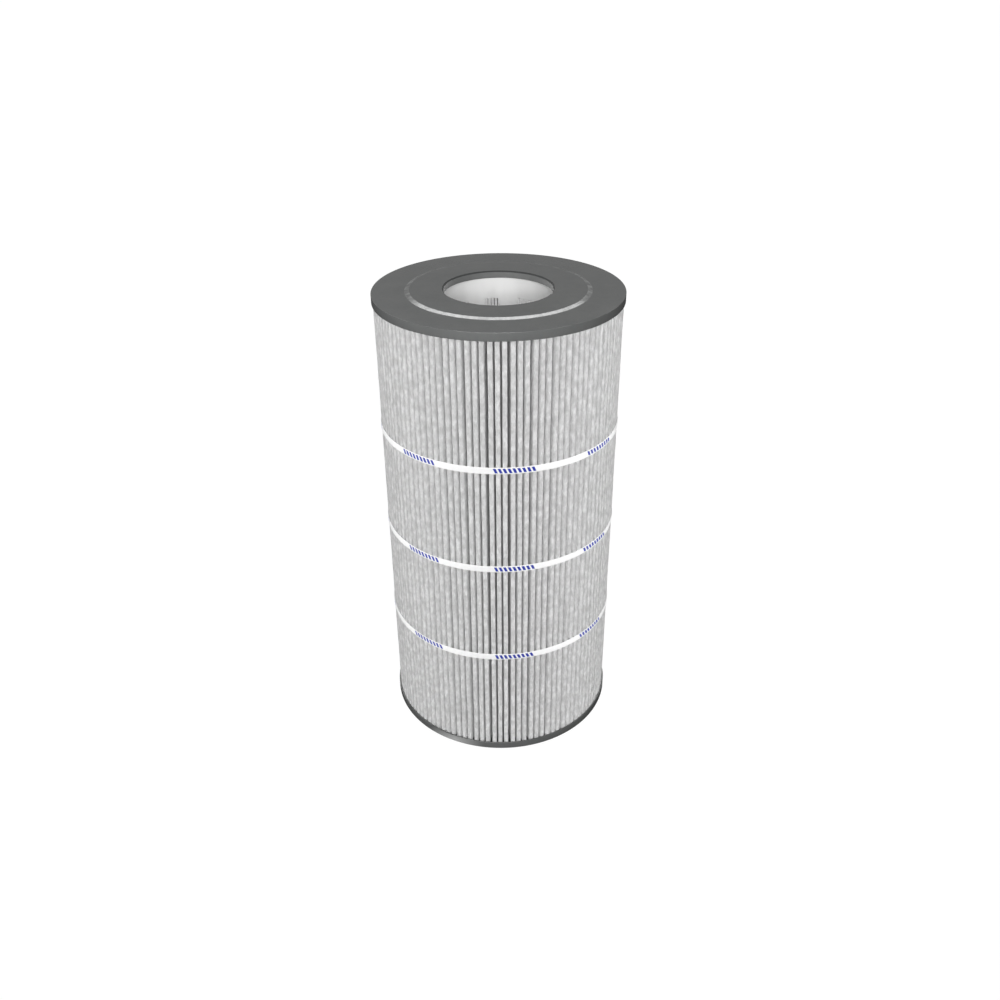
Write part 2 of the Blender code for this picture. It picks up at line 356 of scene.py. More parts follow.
class Graph:
    """A material's node tree, with short ways to add and join nodes."""

    def __init__(self, name: str) -> None:
        """Start a material with one Principled shader.

        Args:
            name: the material's name.
        """
        self.material = bpy.data.materials.new(name)
        self.material.use_nodes = True
        self.nodes = self.material.node_tree.nodes
        self.links = self.material.node_tree.links
        self.shader = self.nodes["Principled BSDF"]

    def add(self, kind: str, **settings: object) -> bpy.types.Node:
        """Add a node.

        Args:
            kind: the node type without its common prefix.
            settings: the node's own properties by name.

        Returns:
            The new node.
        """
        node = self.nodes.new("ShaderNode" + kind)
        for key, value in settings.items():
            setattr(node, key, value)
        return node

    def place(self, uv: bool = False, scale: Triple = (1.0, 1.0, 1.0)) -> Socket:
        """Give pattern coordinates in metres, stretched by a scale.

        Args:
            uv: whether to follow the piece's own UV map in place of its object coordinates.
            scale: how many times finer the pattern is along each axis.

        Returns:
            The coordinates.
        """
        coordinates = self.add("TexCoord")
        mapping = self.add("Mapping")
        mapping.inputs["Scale"].default_value = scale
        self.links.new(coordinates.outputs["UV" if uv else "Object"], mapping.inputs["Vector"])
        return mapping.outputs["Vector"]

    def noise(self, vector: Socket, mottle: Mottle) -> Socket:
        """Make a noise.

        Args:
            vector: the pattern coordinates.
            mottle: the noise's scale and detail.

        Returns:
            A value between zero and one.
        """
        node = self.add("TexNoise")
        self.links.new(vector, node.inputs["Vector"])
        node.inputs["Scale"].default_value = mottle.scale
        node.inputs["Detail"].default_value = mottle.detail
        node.inputs["Roughness"].default_value = mottle.roughness
        return node.outputs["Fac"]

    def ramp(self, factor: Socket, *stops: tuple[float, Sequence[float]]) -> Socket:
        """Make colours that follow a factor.

        Args:
            factor: the driving value.
            stops: positions and their linear colours, in order.

        Returns:
            The colour.
        """
        node = self.add("ValToRGB")
        elements = node.color_ramp.elements
        while len(elements) < len(stops):
            elements.new(0.5)
        for element, (position, colour) in zip(elements, stops):
            element.position = position
            element.color = (*colour, 1.0)
        self.links.new(factor, node.inputs["Fac"])
        return node.outputs["Color"]

    def spread(self, factor: Socket, low: float, high: float, start: float = 0.0,
               end: float = 1.0) -> Socket:
        """Map a factor from one range onto another, held at its ends.

        Args:
            factor: the value to map.
            low: the result at the range's start.
            high: the result at the range's end.
            start: the range's start.
            end: the range's end.

        Returns:
            The mapped value.
        """
        node = self.add("MapRange")
        node.inputs["From Min"].default_value = start
        node.inputs["From Max"].default_value = end
        node.inputs["To Min"].default_value = low
        node.inputs["To Max"].default_value = high
        self.links.new(factor, node.inputs["Value"])
        return node.outputs["Result"]

    def sum(self, operation: str, first: Socket | float, second: Socket | float = 0.0) -> Socket:
        """Work out one sum on sockets or plain numbers.

        Args:
            operation: the Math node's operation.
            first: the first operand.
            second: the second operand, where there is one.

        Returns:
            The sum's result.
        """
        node = self.add("Math", operation=operation)
        for socket, value in zip(node.inputs, (first, second)):
            if isinstance(value, Socket):
                self.links.new(value, socket)
            else:
                socket.default_value = value
        return node.outputs["Value"]

    def on_ring(self, start: float, end: float) -> Socket:
        """Mark the ground between two radii from the axis.

        Args:
            start: the inner radius.
            end: the outer radius.

        Returns:
            One between the radii and zero elsewhere.
        """
        radius = self.add("VectorMath", operation="LENGTH")
        self.links.new(self.place(scale=(1.0, 1.0, 0.0)), radius.inputs[0])
        outside = self.sum("GREATER_THAN", radius.outputs["Value"], start)
        inside = self.sum("LESS_THAN", radius.outputs["Value"], end)
        return self.sum("MULTIPLY", outside, inside)

    def mix(self, factor: Socket, first: Socket, second: Sequence[float]) -> Socket:
        """Mix a colour with a fixed second colour.

        Args:
            factor: the share of the second colour.
            first: the first colour.
            second: the second colour.

        Returns:
            The mixed colour.
        """
        node = self.add("Mix", data_type="RGBA")
        self.links.new(factor, node.inputs["Factor"])
        self.links.new(first, node.inputs[MIX_FIRST])
        node.inputs[MIX_SECOND].default_value = (*second, 1.0)
        return node.outputs[MIX_RESULT]

    def bump(self, height: Socket, relief: Relief, under: Socket | None = None) -> Socket:
        """Raise the surface by a height.

        Args:
            height: the height pattern, from zero to one.
            relief: the relief at a height of one.
            under: the normal of a coarser relief below this one.

        Returns:
            The surface normal.
        """
        node = self.add("Bump")
        node.inputs["Distance"].default_value = relief.height
        node.inputs["Strength"].default_value = relief.strength
        self.links.new(height, node.inputs["Height"])
        if under is not None:
            self.links.new(under, node.inputs["Normal"])
        return node.outputs["Normal"]

    def lit_through(self, colour: Socket, normal: Socket, share: float) -> bpy.types.Material:
        """Let part of the light through the surface.

        Args:
            colour: the tint of the light that comes through.
            normal: the surface relief.
            share: how much of the light goes through.

        Returns:
            The material.
        """
        thin = self.add("BsdfTranslucent")
        both = self.add("MixShader")
        self.links.new(colour, thin.inputs["Color"])
        self.links.new(normal, thin.inputs["Normal"])
        both.inputs["Fac"].default_value = share
        self.links.new(self.shader.outputs["BSDF"], both.inputs[1])
        self.links.new(thin.outputs["BSDF"], both.inputs[2])
        self.links.new(both.outputs["Shader"], self.nodes["Material Output"].inputs["Surface"])
        return self.material

    def dress(self, **sockets: Socket | float) -> bpy.types.Material:
        """Join sockets and plain numbers to the shader's inputs.

        Args:
            sockets: the values by the input's name, in small letters with underscores.

        Returns:
            The material.
        """
        for key, value in sockets.items():
            target = self.shader.inputs[key.replace("_", " ").title().replace("Ior", "IOR")]
            if isinstance(value, Socket):
                self.links.new(value, target)
            else:
                target.default_value = value
        return self.material


@dataclass(frozen=True)
class CastResin:
    """Grey cast resin of the end caps: satin, faintly mottled, with fine rings from the mould."""

    name: str
    # Below one, shade darkens the whole colour: painted shade on the bottom cap's copy
    shade: float = 1.0
    dark: Triple = (0.128, 0.132, 0.131)
    pale: Triple = (0.150, 0.154, 0.152)
    clouds: Mottle = Mottle(42.0, 5.0, 0.62)
    cloud_share: float = 0.6
    grain: Mottle = Mottle(1500.0, 2.0)
    grain_share: float = 0.4
    speckle_range: Range = (0.36, 0.64)
    # Painted shade: a thin dark ring at the bore's edge, between these radii
    edge: Triple = (0.050, 0.052, 0.052)
    edge_shade_start: float = 0.04925
    edge_shade_end: float = 0.0504
    # Painted highlight: a lighter, mottled ring on the land's slope
    painted_slope_highlight: Triple = (0.290, 0.296, 0.293)
    highlight_mottle: Mottle = Mottle(105.0, 3.0)
    highlight_mottle_range: Range = (0.38, 0.60)
    least_highlight: float = 0.12
    slope_start: float = 0.0796
    slope_end: float = 0.0838
    ring_scale: float = 190.0
    ring_wobble: float = 0.6
    ring_detail: float = 2.0
    ring_relief: Relief = Relief(0.00002, 0.10)
    grain_relief: Relief = Relief(0.00002, 0.12)
    smears: Mottle = Mottle(160.0, 4.0)
    polish: Range = (0.13, 0.19)
    sheen_level: float = 0.90

    def tone(self, graph: Graph, place: Socket, grain: Socket) -> Socket:
        """Colour the resin: mottled, with painted shade at the bore's edge and a painted highlight on the
        land's slope.

        Args:
            graph: the resin's node tree.
            place: the pattern coordinates.
            grain: the fine grain.

        Returns:
            The colour.
        """
        cloudy = graph.sum("MULTIPLY", graph.noise(place, self.clouds), self.cloud_share)
        speckled = graph.sum("ADD", cloudy, graph.sum("MULTIPLY", grain, self.grain_share))
        dark, pale = ([self.shade * part for part in tone] for tone in (self.dark, self.pale))
        colour = graph.ramp(speckled, *zip(self.speckle_range, (dark, pale)))
        # Painted shade: a dark ring at the bore's edge
        colour = graph.mix(graph.on_ring(self.edge_shade_start, self.edge_shade_end), colour, self.edge)
        # Painted highlight: a lighter, mottled ring on the land's slope
        highlight_mottle = graph.spread(graph.noise(place, self.highlight_mottle), self.least_highlight, 1.0, *self.highlight_mottle_range)
        on_slope = graph.on_ring(self.slope_start, self.slope_end)
        return graph.mix(graph.sum("MULTIPLY", on_slope, highlight_mottle), colour, self.painted_slope_highlight)

    def material(self) -> bpy.types.Material:
        """Make the resin's material.

        Returns:
            The material.
        """
        graph = Graph(self.name)
        place = graph.place()
        grain = graph.noise(place, self.grain)
        rings = graph.add("TexWave", wave_type="RINGS", rings_direction="Z")
        rings.inputs["Scale"].default_value = self.ring_scale
        rings.inputs["Distortion"].default_value = self.ring_wobble
        rings.inputs["Detail"].default_value = self.ring_detail
        graph.links.new(place, rings.inputs["Vector"])
        relief = graph.bump(rings.outputs["Fac"], self.ring_relief)
        relief = graph.bump(grain, self.grain_relief, relief)
        polish = graph.spread(graph.noise(place, self.smears), *self.polish, *NOISE_RANGE)
        return graph.dress(base_color=self.tone(graph, place, grain), roughness=polish, normal=relief,
                           specular_IOR_level=self.sheen_level)


@dataclass(frozen=True)
class MouldedWhite:
    """White moulded plastic of the core and the seam strip."""

    name: str
    pale: Triple = (0.64, 0.64, 0.637)
    dull: Triple = (0.60, 0.60, 0.597)
    flow: Mottle = Mottle(70.0, 4.0)
    flow_stretch: Triple = (1.0, 1.0, 0.25)
    orange_peel: Mottle = Mottle(900.0, 2.0)
    peel_relief: Relief = Relief(0.00004, 0.2)
    polish: Range = (0.36, 0.50)

    def material(self) -> bpy.types.Material:
        """Make the plastic's material.

        Returns:
            The material.
        """
        graph = Graph(self.name)
        flow = graph.noise(graph.place(scale=self.flow_stretch), self.flow)
        colour = graph.ramp(flow, *zip(NOISE_RANGE, (self.dull, self.pale)))
        relief = graph.bump(graph.noise(graph.place(), self.orange_peel), self.peel_relief)
        polish = graph.spread(flow, *self.polish, *NOISE_RANGE)
        return graph.dress(base_color=colour, roughness=polish, normal=relief)


@dataclass(frozen=True)
class SpunFabric:
    """Spun-bonded white fabric of the pleats: matte, mottled, dimpled, lit through when thin, with a
    painted glow in its folds.
    """

    dull: Triple = (0.53, 0.53, 0.53)
    middle: Triple = (0.635, 0.635, 0.635)
    pale: Triple = (0.765, 0.765, 0.765)
    tone_stops: Triple = (0.35, 0.51, 0.66)
    blotches: Mottle = Mottle(245.0, 4.0, 0.6)
    blotch_stretch: Triple = (1.0, 1.0, 0.6)
    blotch_relief: Relief = Relief(0.0008, 0.30)
    dimple_pitch: float = 0.0011
    dimple_scatter: float = 0.35
    dimple_range: Range = (0.12, 0.42)
    dimple_relief: Relief = Relief(0.00009, 0.35)
    fibres: Mottle = Mottle(2600.0, 4.0, 0.65)
    fibre_stretch: Triple = (1.0, 0.3, 1.0)
    fibre_relief: Relief = Relief(0.00012, 0.4)
    matte: float = 0.88
    sheen_level: float = 0.25
    through: float = 0.22
    # Painted glow in the folds, by depth below the crests, standing in for light soaking through the
    # fabric and in from the bore
    painted_soaked_glow: float = 0.095
    soaked_from: Range = (0.0001, 0.0014)
    painted_deep_glow: float = 0.034
    fading_from: Range = (0.0018, 0.0062)
    painted_bore_glow: float = 0.22
    bore_from: Range = (0.0480, 0.0575)

    def relief(self, graph: Graph, blotches: Socket) -> Socket:
        """Raise the fabric's blotches, dimples and fibres.

        Args:
            graph: the fabric's node tree.
            blotches: the blotches' height.

        Returns:
            The surface normal.
        """
        dimples = graph.add("TexVoronoi", feature="F1", distance="EUCLIDEAN")
        dimples.inputs["Scale"].default_value = 1.0 / self.dimple_pitch
        dimples.inputs["Randomness"].default_value = self.dimple_scatter
        graph.links.new(graph.place(uv=True), dimples.inputs["Vector"])
        pits = graph.spread(dimples.outputs["Distance"], 0.0, 1.0, *self.dimple_range)
        fibres = graph.noise(graph.place(uv=True, scale=self.fibre_stretch), self.fibres)
        normal = graph.bump(blotches, self.blotch_relief)
        normal = graph.bump(pits, self.dimple_relief, normal)
        return graph.bump(fibres, self.fibre_relief, normal)

    def painted_fold_glow(self, graph: Graph) -> Socket:
        """Work out the painted glow that stands in for light soaking through the folds, by the depth below
        the pleats' crests.

        Args:
            graph: the fabric's node tree.

        Returns:
            The painted glow: rising below the crest, fading with depth, and strong again beside the bore.
        """
        depth = graph.add("Attribute", attribute_name=FOLD_DEPTH).outputs["Fac"]
        rising = graph.spread(depth, 0.0, self.painted_soaked_glow, *self.soaked_from)
        fading = graph.spread(depth, 1.0, self.painted_deep_glow / self.painted_soaked_glow, *self.fading_from)
        from_bore = graph.spread(depth, 0.0, self.painted_bore_glow, *self.bore_from)
        return graph.sum("ADD", graph.sum("MULTIPLY", rising, fading), from_bore)

    def material(self) -> bpy.types.Material:
        """Make the fabric's material.

        Returns:
            The material.
        """
        graph = Graph("spun_fabric")
        blotches = graph.noise(graph.place(scale=self.blotch_stretch), self.blotches)
        colour = graph.ramp(blotches, *zip(self.tone_stops, (self.dull, self.middle, self.pale)))
        normal = self.relief(graph, blotches)
        # The fabric glows white by fold depth: painted light
        graph.shader.inputs["Emission Color"].default_value = WHITE
        graph.dress(base_color=colour, roughness=self.matte, normal=normal,
                    specular_IOR_level=self.sheen_level, emission_strength=self.painted_fold_glow(graph))
        return graph.lit_through(colour, normal, self.through)


@dataclass(frozen=True)
class StrapWeave:
    """Bright white strap with fine lengthwise ribs, plain blue strokes and a welded lap."""

    first_mark: float
    lap_end: float
    white: Triple = (0.665, 0.665, 0.665)
    shade: Triple = (0.645, 0.645, 0.645)
    clouds: Mottle = Mottle(120.0, 3.0)
    cloud_range: Range = (0.3, 0.6)
    # The strap glows in its own colour: painted light that keeps it white
    painted_strap_glow: float = 0.14
    satin: float = 0.46
    ink: Triple = (0.012, 0.026, 0.25)
    mark_pitch: float = 0.0913
    mark_length: float = 0.0361
    stroke_pitch: float = 0.0042
    stroke_width: float = 0.0025
    stroke_height: float = 0.0044
    stroke_slant: float = 0.45
    rib_pitch: float = 0.0008
    rib_relief: Relief = Relief(0.00002, 0.5)
    weld_length: float = 0.0140
    weld_pitch: float = 0.0012
    weld_relief: Relief = Relief(0.0001, 0.6)

    def strokes(self, graph: Graph, along: Socket, across: Socket) -> Socket:
        """Mark the printed slanted strokes.

        Args:
            graph: the strap's node tree.
            along: distance along the strap.
            across: distance from the strap's middle line.

        Returns:
            One on the strokes and zero elsewhere.
        """
        leaned = graph.sum("ADD", along, graph.sum("MULTIPLY", across, self.stroke_slant))
        from_first = graph.sum("SUBTRACT", leaned, self.first_mark - self.mark_pitch / 2)
        turns = graph.sum("FRACT", graph.sum("DIVIDE", from_first, self.mark_pitch))
        from_middle = graph.sum("MULTIPLY", graph.sum("SUBTRACT", turns, 0.5), self.mark_pitch)
        in_mark = graph.sum("LESS_THAN", graph.sum("ABSOLUTE", from_middle), self.mark_length / 2)
        from_start = graph.sum("ADD", from_middle, self.mark_length / 2)
        in_pitch = graph.sum("FRACT", graph.sum("DIVIDE", from_start, self.stroke_pitch))
        on_stroke = graph.sum("LESS_THAN", in_pitch, self.stroke_width / self.stroke_pitch)
        in_height = graph.sum("LESS_THAN", graph.sum("ABSOLUTE", across), self.stroke_height / 2)
        return graph.sum("MULTIPLY", graph.sum("MULTIPLY", in_mark, on_stroke), in_height)

    def relief(self, graph: Graph, along: Socket, across: Socket) -> Socket:
        """Raise the lengthwise ribs and the lattice that the weld leaves on the lap.

        Args:
            graph: the strap's node tree.
            along: distance along the strap.
            across: distance from the strap's middle line.

        Returns:
            The surface normal.
        """

        def ripple(distance: Socket, pitch: float) -> Socket:
            """Return a sine wave along a distance."""
            return graph.sum("SINE", graph.sum("MULTIPLY", distance, math.tau / pitch))

        normal = graph.bump(ripple(across, self.rib_pitch), self.rib_relief)
        lattice = graph.sum("MULTIPLY", ripple(along, self.weld_pitch), ripple(across, self.weld_pitch))
        in_weld = graph.sum("GREATER_THAN", along, self.lap_end - self.weld_length)
        return graph.bump(graph.sum("MULTIPLY", lattice, in_weld), self.weld_relief, normal)

    def material(self) -> bpy.types.Material:
        """Make the strap's material.

        Returns:
            The material.
        """
        graph = Graph("strap_weave")
        cloth = graph.place(uv=True)
        split = graph.add("SeparateXYZ")
        graph.links.new(cloth, split.inputs["Vector"])
        along, across = split.outputs["X"], split.outputs["Y"]
        clouds = graph.noise(cloth, self.clouds)
        colour = graph.ramp(clouds, *zip(self.cloud_range, (self.shade, self.white)))
        colour = graph.mix(self.strokes(graph, along, across), colour, self.ink)
        # Painted light: the strap glows in its own colour
        graph.links.new(colour, graph.shader.inputs["Emission Color"])
        return graph.dress(base_color=colour, roughness=self.satin, emission_strength=self.painted_strap_glow,
                           normal=self.relief(graph, along, across))


@dataclass
class EndCap:
    """One cast end cap, with its raised land, rim, channel and collar."""

    end: End
    bore_radius: float = 0.0492
    land_radius: float = 0.0798
    land_height: float = 0.0012
    slope_width: float = 0.0042
    skirt_wall: float = 0.0010
    plate: float = 0.0028
    collar_wall: float = 0.0016
    collar_depth: float = 0.0026
    bore_chamfer: float = 0.0012
    chamfer_steps: int = 1
    rim_round: float = 0.0002
    rim_steps: int = 5
    land_round: float = 0.0004
    foot_round: float = 0.0003
    round_steps: int = 3
    segments: int = 256
    outer_radius: float = field(init=False)
    height: float = field(init=False)
    face: float = field(init=False)

    def __post_init__(self) -> None:
        """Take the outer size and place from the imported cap."""
        low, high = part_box(self.end.value)
        self.outer_radius = (high.x - low.x) / 2
        self.height = high.z - low.z
        self.face = high.z if self.end is End.TOP else low.z

    def profile(self) -> list[Ring]:
        """Work out the cap's section with its seating face at zero and its channel below.

        Returns:
            The rings from the bore's edge over the rim and back up the collar.
        """
        annulus = -self.land_height
        channel = annulus - self.plate
        collar_foot = channel - self.collar_depth
        skirt = self.outer_radius - self.skirt_wall
        collar = self.bore_radius + self.collar_wall
        return [
            Ring(self.bore_radius, 0.0),
            Ring(self.land_radius, 0.0),
            Ring(self.land_radius + self.slope_width, annulus),
            Ring(self.outer_radius, annulus),
            Ring(self.outer_radius, -self.height),
            Ring(skirt, -self.height),
            Ring(skirt, channel),
            Ring(collar, channel),
            Ring(collar, collar_foot),
            Ring(self.bore_radius, collar_foot),
        ]

    def build(self) -> Piece:
        """Model the cap with its rounded edges and put it at its end of the cartridge.

        Returns:
            The finished mesh object, at the origin.
        """
        profile = self.profile()
        bore, land, slope_foot, rim, rim_foot = profile[:5]
        rounds = (
            (bore, self.bore_chamfer, self.chamfer_steps),
            (land, self.land_round, self.round_steps),
            (slope_foot, self.land_round, self.round_steps),
            (rim, self.rim_round, self.rim_steps),
            (rim_foot, self.foot_round, self.round_steps),
            (profile[-1], self.foot_round, self.round_steps),
        )
        cap = Bench.turned(f"{self.end.name.lower()}_cap_casting", profile, self.segments)
        with Bench.editing(cap):
            for ring, width, steps in rounds:
                Bench.round_ring(cap, ring, width, steps)
            bpy.ops.mesh.select_all(action="SELECT")
            if self.end is End.BOTTOM:
                bpy.ops.transform.resize(value=(1.0, 1.0, -1.0), center_override=(0.0, 0.0, 0.0))
            bpy.ops.transform.translate(value=(0.0, 0.0, self.face))
            bpy.ops.mesh.normals_make_consistent(inside=False)
        Bench.smooth(cap)
        return cap

    def make(self, resin: CastResin) -> Piece:
        """Build and dress the cap.

        Args:
            resin: the cap's finish.

        Returns:
            The dressed cap.
        """
        cap = self.build()
        Bench.finish(cap, resin.material(), Slot.CAP, self.end.value)
        return cap


@dataclass
class CoreSection:
    """One moulded section of the core: a windowed tube with a spigot and a socket."""

    node: str
    inner_radius: float = 0.0513
    spigot_length: float = 0.0050
    joint_gap: float = 0.0003
    hoop_height: float = 0.0176
    ring_height: float = 0.0060
    columns: int = 10
    column_steps: int = 14
    window_steps: int = 7
    rows: int = 3
    turn: float = math.radians(7.0)
    corner_round: float = 0.0030
    corner_steps: int = 4
    edge_round: float = 0.00025
    edge_steps: int = 2
    outer_radius: float = field(init=False)
    foot: float = field(init=False)
    top: float = field(init=False)

    def __post_init__(self) -> None:
        """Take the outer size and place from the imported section."""
        low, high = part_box(self.node)
        self.outer_radius = (high.x - low.x) / 2
        self.foot = low.z
        self.top = high.z

    @property
    def shoulder(self) -> float:
        """Level at the foot of the spigot."""
        return self.top - self.spigot_length

    def window_levels(self) -> list[Range]:
        """Share out the section's height among its rows of windows.

        Returns:
            The lower and upper edge of each row.
        """
        free = self.shoulder - self.foot - 2 * self.hoop_height - (self.rows - 1) * self.ring_height
        height = free / self.rows
        first = self.foot + self.hoop_height
        sills = [first + row * (height + self.ring_height) for row in range(self.rows)]
        return [(sill, sill + height) for sill in sills]

    def profile(self) -> list[Ring]:
        """Work out the section's tube wall.

        Returns:
            The rings from the spigot down the outside and back up the bore.
        """
        spigot = (self.inner_radius + self.outer_radius - self.joint_gap) / 2
        socket = spigot + self.joint_gap
        socket_roof = self.foot + self.spigot_length + self.joint_gap
        edges = [level for window in self.window_levels() for level in window]
        return [
            Ring(self.inner_radius, self.top),
            Ring(spigot, self.top),
            Ring(spigot, self.shoulder),
            Ring(self.outer_radius, self.shoulder),
            *(Ring(self.outer_radius, level) for level in reversed(edges)),
            Ring(self.outer_radius, self.foot),
            Ring(socket, self.foot),
            Ring(socket, socket_roof),
            Ring(self.inner_radius, socket_roof),
            *(Ring(self.inner_radius, level) for level in edges),
        ]

    def cut_window(self, tube: Piece, angle: float, sill: float, lintel: float) -> None:
        """Open one window through both walls of the tube and close its four sides.

        Args:
            tube: the tube in edit mode.
            angle: the window's middle.
            sill: its lower edge.
            lintel: its upper edge.
        """
        half = self.window_steps / self.column_steps * math.pi / self.columns

        def inside(face: bmesh.types.BMFace) -> bool:
            """Tell whether a wall face lies in the window.

            Args:
                face: the face to test.

            Returns:
                Whether it stands upright between the window's edges.
            """
            middle = face.calc_center_median()
            turned = math.atan2(middle.x, -middle.y) - angle
            off = (turned + math.pi) % math.tau - math.pi
            upright = abs(face.normal.z) < UPRIGHT
            return sill < middle.z < lintel and abs(off) < half and upright

        Bench.pick(tube, Element.FACE, inside)
        bpy.ops.mesh.delete(type="FACE")
        Bench.pick(tube, Element.EDGE, lambda edge: edge.is_boundary)
        bpy.ops.mesh.bridge_edge_loops()

    @staticmethod
    def is_window_corner(edge: bmesh.types.BMEdge) -> bool:
        """Tell whether an edge runs through the wall at a window's corner.

        Args:
            edge: the edge to test.

        Returns:
            Whether it is level, radial and sharp.
        """
        here, there = (vert.co for vert in edge.verts)
        level = abs(here.z - there.z) < PLACE_TOLERANCE
        radial = abs(here.xy.length - there.xy.length) > PLACE_TOLERANCE
        return level and radial and edge.is_manifold and edge.calc_face_angle() > CORNER_ANGLE

    def build(self) -> Piece:
        """Model the section.

        Returns:
            The finished mesh object, at the origin.
        """
        name = self.node.replace("section", "tube")
        tube = Bench.turned(name, self.profile(), self.columns * self.column_steps)
        tube.rotation_euler = (0.0, 0.0, self.turn)
        Bench.take(tube)
        bpy.ops.object.transform_apply(location=False, rotation=True, scale=False)
        pitch = math.tau / self.columns
        with Bench.editing(tube):
            for sill, lintel in self.window_levels():
                for column in range(self.columns):
                    self.cut_window(tube, self.turn + column * pitch, sill, lintel)
            Bench.pick(tube, Element.EDGE, self.is_window_corner)
            bpy.ops.mesh.bevel(offset=self.corner_round, segments=self.corner_steps, affect="EDGES")
            bpy.ops.mesh.select_all(action="SELECT")
            bpy.ops.mesh.normals_make_consistent(inside=False)
        Bench.round_edges(tube, self.edge_round, self.edge_steps)
        Bench.smooth(tube)
        return tube

    def make(self, plastic: bpy.types.Material) -> Piece:
        """Build and dress the section.

        Args:
            plastic: the finish that the sections share.

        Returns:
            The dressed section.
        """
        tube = self.build()
        Bench.finish(tube, plastic, Slot.CORE, self.node)
        return tube


@dataclass(frozen=True)
class FoldPoint:
    """One line of the folded sheet: where it stands, and the pleat that it belongs to."""

    radius: float
    angle: float
    offset: float = 0.0
    pleat: int = 0

    @property
    def corner(self) -> tuple[float, float]:
        """The line's x and y."""
        return beside(self.radius, self.angle, self.offset)


@dataclass(frozen=True)
class Wave:
    """One gentle wave of a pleat along its length."""

    size: float
    span: float
    phase: float

    def swing(self, level: float) -> float:
        """Return the wave's swing at a level."""
        return self.size * math.sin(math.tau * level / self.span + self.phase)


